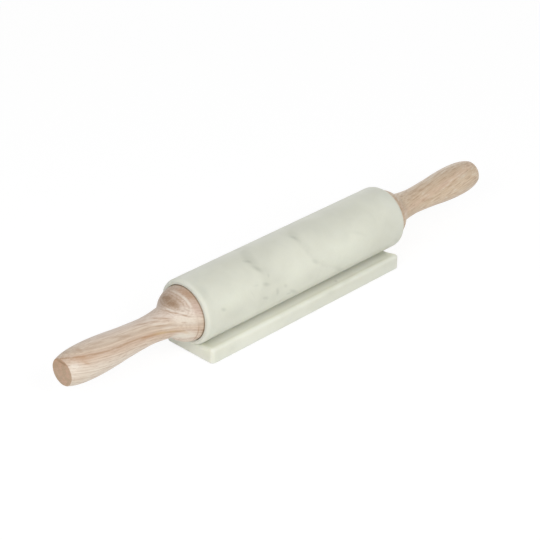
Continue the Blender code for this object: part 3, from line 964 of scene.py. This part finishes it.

# Patches on each handle, mostly figure, with painted highlight and painted shade where marked: from pixel to
# pixel, half width in millimetres, strength, colour
LEFT_FIGURE_AND_PAINTED_LIGHT = (
    # Darker at the dome's top
    ((166.0, 290.5), (176.0, 288.5), 6.0, 0.26, WOOD_DARK),
    ((161.0, 299.0), (174.0, 300.5), 6.8, 0.48, WOOD_DARK),
    ((166.0, 302.0), (182.0, 309.0), 5.4, 0.44, WOOD_DARK),
    ((162.0, 296.5), (170.0, 299.0), 2.8, 0.46, WOOD_DARK),
    ((169.0, 302.5), (177.0, 307.0), 2.4, 0.36, WOOD_DARK),
    # Darker russet where the dome's top meets the ring
    ((180.0, 289.5), (193.0, 298.5), 4.8, 0.58, WOOD_RUSSET),
    ((193.0, 303.0), (200.0, 311.0), 5.0, 0.46, WOOD_ROSE),
    ((172.0, 290.5), (184.0, 297.5), 1.6, 0.55, WOOD_WHITISH),
    ((184.0, 297.5), (191.0, 306.0), 1.7, 0.60, WOOD_WHITISH),
    ((181.0, 308.0), (192.0, 311.0), 2.2, 0.50, WOOD_WHITISH),
    ((165.0, 308.5), (176.0, 311.6), 1.3, 0.60, WOOD_WHITISH),
    ((176.0, 311.6), (187.0, 313.6), 1.3, 0.50, WOOD_WHITISH),
    # Painted highlight: the whitish shine of the lamp on the dome; the next row paints the dome's lower part
    # whiter, partly lighter wood and partly painted sheen
    ((176.0, 318.0), (195.0, 321.0), 6.4, 0.50, WOOD_WHITISH),
    ((174.0, 337.0), (193.0, 334.0), 6.8, 0.85, WOOD_WHITISH),
    ((153.0, 334.4), (170.0, 331.8), 1.8, 0.70, WOOD_GOLDEN),
    ((170.0, 331.8), (187.0, 333.0), 2.2, 0.80, WOOD_GOLDEN),
    ((163.0, 310.4), (172.0, 312.6), 0.9, 0.60, WOOD_LINE),
    ((172.0, 312.6), (180.0, 314.2), 0.9, 0.75, WOOD_LINE),
    ((180.0, 314.2), (190.0, 316.8), 0.9, 0.75, WOOD_LINE),
    ((190.0, 316.8), (203.5, 317.4), 0.9, 0.70, WOOD_LINE),
    ((184.0, 308.6), (190.0, 311.4), 0.8, 0.50, WOOD_LINE),
    ((190.0, 311.4), (203.0, 313.6), 0.9, 0.60, WOOD_ROSE),
    ((181.4, 322.2), (187.0, 322.6), 0.7, 0.55, WOOD_LINE),
    ((150.0, 318.2), (159.0, 318.2), 0.9, 0.60, WOOD_LINE),
    ((159.0, 318.2), (171.0, 319.0), 0.9, 0.60, WOOD_LINE),
    ((138.0, 325.4), (150.0, 322.5), 0.8, 0.55, WOOD_LINE),
    ((150.0, 322.5), (161.0, 321.3), 0.9, 0.60, WOOD_LINE),
    ((161.0, 321.3), (172.0, 320.7), 0.8, 0.60, WOOD_LINE),
    ((140.0, 330.8), (152.0, 326.9), 0.9, 0.50, WOOD_LINE),
    ((152.0, 326.9), (168.0, 324.6), 0.9, 0.55, WOOD_LINE),
    ((168.0, 324.6), (193.0, 325.6), 0.8, 0.40, WOOD_LINE),
    ((146.0, 320.6), (158.0, 319.9), 0.8, 0.45, WOOD_WHITISH),
    ((148.0, 325.2), (166.0, 322.7), 1.0, 0.45, WOOD_WHITISH),
    ((160.0, 328.4), (176.0, 327.0), 1.2, 0.40, WOOD_WHITISH),
    ((108.0, 338.3), (134.0, 335.4), 1.6, 0.42, WOOD_LINE),
    ((89.0, 345.6), (104.0, 341.0), 1.6, 0.38, WOOD_LINE),
    ((75.8, 348.0), (81.3, 352.0), 2.4, 0.36, WOOD_LINE),
    ((84.0, 362.4), (90.0, 364.4), 1.4, 0.38, WOOD_ORANGE),
    ((140.0, 339.0), (158.0, 333.5), 1.8, 0.55, WOOD_ORANGE),
    ((76.0, 359.0), (92.0, 356.5), 4.2, 0.34, WOOD_ORANGE),
    ((72.5, 365.5), (79.0, 367.0), 3.0, 0.40, WOOD_WHITISH),
    # A dark line just inside the rim of the end face
    ((57.0, 360.0), (68.5, 366.0), 1.4, 0.55, WOOD_DARK),
)
RIGHT_FIGURE_AND_PAINTED_SHADE = (
    ((441.0, 186.0), (448.0, 181.0), 3.0, 0.25, WOOD_ROSE),
    ((400.0, 203.0), (404.0, 212.0), 3.0, 0.30, WOOD_ROSE),
    # Painted shade: the dark russet crescent on the far dome beside the barrel's end
    ((393.5, 196.0), (400.5, 207.5), 1.6, 0.55, WOOD_RUSSET),
    ((400.5, 207.5), (403.8, 216.5), 1.4, 0.40, WOOD_RUSSET),
)

# The two blanks: side of the barrel, grain, strength of lines and streaks, place in the tree, figure with
# painted light
LEFT_BLANK = {
    "outward": -1.0, "climb": LEFT_CLIMB, "tones": LEFT_TONES, "lines": 0.5, "streaks": 0.22,
    "shift": (0.0, 0.0, 0.0), "figure_and_painted_light": LEFT_FIGURE_AND_PAINTED_LIGHT, "swirl": True,
}
RIGHT_BLANK = {
    "outward": 1.0, "climb": RIGHT_CLIMB, "tones": RIGHT_TONES, "lines": 0.3, "streaks": 0.5,
    "shift": (31.0, 7.0, 13.0), "figure_and_painted_light": RIGHT_FIGURE_AND_PAINTED_SHADE, "swirl": False,
}


def add_swirl(finish, colour, place, centre, piece, jitter):
    """Long rings in the wood of the left dome."""
    warp = finish.noise(place, *SWIRL_WARP) - 0.5
    away = away_from_smudge(finish, place, centre, piece, *SWIRL) + jitter * 0.3 + warp * 0.6
    ring = finish.step(finish.maths("SINE", away * (math.tau / SWIRL_RING)), -0.2, 1.0)
    near = finish.step(away, SWIRL_REACH, SWIRL_REACH * 0.5) * finish.step(away, 0.6, 1.1)
    return finish.mixed(ring * near * SWIRL_DEPTH, colour, WOOD_LINE)


def add_end_grain(finish, colour, place, end_grain):
    """The flat ends are duller, with rosy patches and the dark specks of cut pores."""
    rosy = finish.step(finish.noise(place, *END_PATCHES), 0.42, 0.62)
    specks = finish.step(finish.noise(place, *END_SPECKS), 0.50, 0.62)
    tone = finish.mixed(rosy, WOOD_END, WOOD_END_ROSY)
    tone = finish.mixed(specks * 0.35, tone, WOOD_PORE)
    return finish.mixed(end_grain * END_SHARE, colour, tone)


def wood_noise(finish, level, shift, squeeze, *pattern):
    """Noise drawn out along the grain."""
    return finish.noise(finish.stretched(level, (squeeze, 1.0, 1.0), shift), *pattern)


def wood_finish(name, piece, outward, climb, tones, lines, streaks, shift, figure_and_painted_light, swirl):
    """Turned light hardwood. Tones and lines follow the grain, which crosses the handle at a slant."""
    finish = Finish(bpy.data.materials.new(name))
    centre = Vector((0.0, 0.0, AXIS_Z))
    place = finish.millimetres(centre)
    x, y, z = finish.apart(place)
    along = x * outward - BARREL_HALF / MM
    shares = [(away / ALONG_SPAN, 0.5 + rise / CLIMB_SPAN / 2) for away, rise in climb]
    climbing = finish.node("FloatCurve", {"bends": shares}, {"Value": along / ALONG_SPAN})
    across = (0.0, math.cos(GRAIN_SLANT), math.sin(GRAIN_SLANT))
    climbed = finish.vector("SCALE", {0: across, 3: (climbing - 0.5) * (2 * CLIMB_SPAN)})
    level = finish.vector("SUBTRACT", {0: place, 1: climbed})
    bend = wood_noise(finish, level, shift, *BENDS) - 0.5
    jitter = wood_noise(finish, level, shift, *JITTER) - 0.5
    depth = finish.vector("DOT_PRODUCT", {0: level, 1: across}, result=1)
    grain = depth + bend * BEND_REACH + jitter * JITTER_REACH
    stops = [(0.5 + side / TONE_SPAN / 2, tone) for side, tone in tones]
    colour = finish.node("ValToRGB", {"stops": stops}, {"Fac": grain / (2 * TONE_SPAN) + 0.5})
    phase = grain / LINE_SPACING
    ring = finish.maths("FLOOR", phase)
    chance = finish.node("TexWhiteNoise", {"noise_dimensions": "1D"}, {"W": ring})
    begun = phase - ring - (chance * 0.5 + 0.1)
    late = finish.step(begun, 0.0, 0.28) * finish.step(begun, 0.42, 0.28) * (chance * 0.75 + 0.25)
    low = finish.step(grain, 4.0, -4.0, 0.6, 1.0)
    colour = finish.mixed(late * low * lines, colour, WOOD_LINE)
    flecks = wood_noise(finish, level, shift, *FLECKS)
    colour = finish.mixed(finish.step(flecks, 0.50, 0.68) * streaks, colour, WOOD_LINE)
    colour = finish.mixed(finish.step(flecks, 0.46, 0.30) * streaks, colour, WOOD_WHITISH)
    fibres = wood_noise(finish, level, shift, *FIBRES)
    colour = finish.mixed(finish.step(fibres, 0.48, 0.75) * FIBRE_SHARE, colour, WOOD_LINE)
    colour = finish.mixed(finish.step(fibres, 0.45, 0.25) * FIBRE_SHARE, colour, WOOD_WHITISH)
    pore = finish.step(wood_noise(finish, level, shift, *PORES), 0.68, 0.76)
    colour = finish.mixed(pore * PORE_SHARE, colour, WOOD_PORE)
    end_grain = finish.step(finish.end_on(), 0.80, 1.0)
    colour = add_end_grain(finish, colour, place, end_grain)
    if swirl:
        colour = add_swirl(finish, colour, place, centre, piece, jitter)
    # Patches from the table: figure, painted highlight and painted shade
    for first, last, half_width, strength, tone in figure_and_painted_light:
        inside = inside_smudge(finish, place, centre, piece, first, last, half_width, jitter * 0.9)
        colour = finish.mixed(inside * strength, colour, tone)
    # Painted shade in the turned line, more on its lower side, and painted shade where the dome meets the
    # barrel
    groove = finish.step(finish.maths("ABSOLUTE", along - TURNED_LINES[1] / MM), *LINE_PAINTED_SHADE)
    colour = finish.mixed(groove * finish.step(z, *LINE_PAINTED_SHADE_BELOW), colour, WOOD_RUSSET)
    colour = finish.mixed(finish.step(along, *ROOT_PAINTED_SHADE) * ROOT_PAINTED_SHADE_SHARE, colour, WOOD_DARK)
    roughness = fibres * 0.14 + end_grain * 0.12 + 0.36
    normal = finish.bump(fibres * 0.5 - pore * 0.8 - late * 0.3, 0.5, 0.05 * MM)
    finish.surface(Base_Color=colour, Roughness=roughness, Normal=normal, IOR=1.48)
    piece.data.materials.append(finish.owner)


# Bright and dull tone of each metal and its least roughness
STEEL = (shade(200, 201, 203), shade(176, 177, 180), 0.22)
BRASS = (shade(222, 192, 128), shade(198, 166, 104), 0.22)
TOOL_STRETCH = (9.0, 0.4, 0.4)
TOOL_MARKS = (1.0, 3.0, 0.6)
TARNISH = (3.5, 4.0, 0.6)

# Pale and dark tone of what is moulded, its least roughness and the grain of its skin in millimetres
NYLON = (shade(232, 230, 220), shade(224, 221, 208), 0.38, 0.8)
RUBBER = (shade(206, 205, 200), shade(194, 193, 188), 0.6, 0.3)
MOTTLE = (6.0, 3.0, 0.5)


def turned_metal(name, bright, dull, rough):
    """Metal with fine tool marks round the X axis and slight tarnish."""
    finish = Finish(bpy.data.materials.new(name))
    place = finish.millimetres((0.0, 0.0, AXIS_Z))
    marks = finish.noise(finish.stretched(place, TOOL_STRETCH), *TOOL_MARKS)
    tarnish = finish.noise(place, *TARNISH)
    colour = finish.mixed(finish.step(tarnish, 0.35, 0.7), bright, dull)
    roughness = marks * 0.16 + tarnish * 0.12 + rough
    normal = finish.bump(marks, 0.35, 0.02 * MM)
    finish.surface(Base_Color=colour, Metallic=1.0, Roughness=roughness, Normal=normal)
    return finish.owner


def moulded(name, pale, dark, rough, size):
    """Moulded plastic or rubber with a fine matt skin."""
    finish = Finish(bpy.data.materials.new(name))
    place = finish.millimetres()
    skin = finish.noise(place, size, 3.0, 0.6)
    mottle = finish.noise(place, *MOTTLE)
    colour = finish.mixed(finish.step(mottle, 0.3, 0.7), pale, dark)
    normal = finish.bump(skin, 0.4, 0.03 * MM)
    finish.surface(Base_Color=colour, Roughness=skin * 0.15 + rough, Normal=normal, IOR=1.5)
    return finish.owner


FLOOR_PAPER = shade(248, 248, 246)
PURE_WHITE = (1.0, 1.0, 1.0, 1.0)


def seen_ray(finish):
    """1 for what the camera sees, also in a reflection or through something clear, and 0 for light."""
    camera = finish.node("LightPath", result="Is Camera Ray")
    rays = camera.socket.node.outputs
    seen = camera + Value(finish, rays["Is Glossy Ray"]) + Value(finish, rays["Is Transmission Ray"])
    return finish.maths("MINIMUM", seen, 1.0)


def make_floor():
    """A plain floor that lights the object as paper does and looks white to the camera."""
    bm = bmesh.new()
    bmesh.ops.create_grid(bm, x_segments=1, y_segments=1, size=FLOOR_HALF)
    mesh = bpy.data.meshes.new("floor")
    bm.to_mesh(mesh)
    bm.free()
    floor = bpy.data.objects.new("floor", mesh)
    bpy.context.scene.collection.objects.link(floor)
    finish = Finish(bpy.data.materials.new("floor_paper"))
    paper = finish.node("BsdfDiffuse", None, {"Color": FLOOR_PAPER})
    faint = finish.node("BsdfDiffuse", None, {"Color": (FLOOR_SHADE, FLOOR_SHADE, FLOOR_SHADE, 1.0)})
    glow = finish.node("Emission", None, {"Color": PURE_WHITE, "Strength": FLOOR_GLOW})
    white = finish.node("AddShader", None, {0: faint, 1: glow})
    finish.output(finish.node("MixShader", None, {0: seen_ray(finish), 1: paper, 2: white}))
    mesh.materials.append(finish.owner)


def light_the_room():
    """An even room that gives less light than the camera sees in it."""
    finish = Finish(bpy.data.worlds.new("studio"))
    bpy.context.scene.world = finish.owner
    strength = seen_ray(finish) * (1.0 - WORLD_LIGHT) + WORLD_LIGHT
    finish.output(finish.node("Background", None, {"Strength": strength}), "OutputWorld")


def add_lamp(name, azimuth, elevation, wide, high, power):
    """A soft box that faces the object; azimuth 0 is straight in front of it."""
    light = bpy.data.lights.new(name, "AREA")
    light.shape = "RECTANGLE"
    light.size = wide
    light.size_y = high
    light.energy = power
    lamp = bpy.data.objects.new(name, light)
    turn, rise = math.radians(azimuth), math.radians(elevation)
    away = Vector((math.sin(turn) * math.cos(rise), -math.cos(turn) * math.cos(rise), math.sin(rise)))
    lamp.location = away * LAMP_DISTANCE + Vector((0.0, 0.0, AIM_HEIGHT))
    lamp.rotation_euler = away.to_track_quat("Z", "Y").to_euler()
    bpy.context.scene.collection.objects.link(lamp)


def main():
    place_camera()
    barrel = shape_barrel()
    cradle = shape_cradle()
    handles = {side: shape_handle(side, turn) for side, turn in SIDES}
    steel = turned_metal("plain_steel", *STEEL)
    brass = turned_metal("machined_brass", *BRASS)
    nylon = moulded("natural_nylon", *NYLON)
    rubber = moulded("clear_rubber", *RUBBER)
    shape_rod().data.materials.append(steel)
    for side, turn in SIDES:
        shape_washer(side, turn).data.materials.append(steel)
        shape_nut(side, turn).data.materials.append(steel)
        shape_insert(side, turn).data.materials.append(brass)
        shape_bush(side, turn).data.materials.append(nylon)
    for number in range(1, 5):
        shape_pad(number).data.materials.append(rubber)
    bpy.context.view_layer.update()
    marble_finish("barrel_stone", barrel, BARREL_TONES, BARREL_VEILS, BARREL_SMUDGES, BARREL_CLEARINGS)
    marble_finish("cradle_stone", cradle, CRADLE_TONES, (), CRADLE_SMUDGES, trough=True)
    wood_finish("left_wood", handles["left"], **LEFT_BLANK)
    wood_finish("right_wood", handles["right"], **RIGHT_BLANK)
    make_floor()
    light_the_room()
    for name, lamp in LAMPS.items():
        add_lamp(name, *lamp)
    bpy.context.scene.view_settings.view_transform = "Standard"


main()
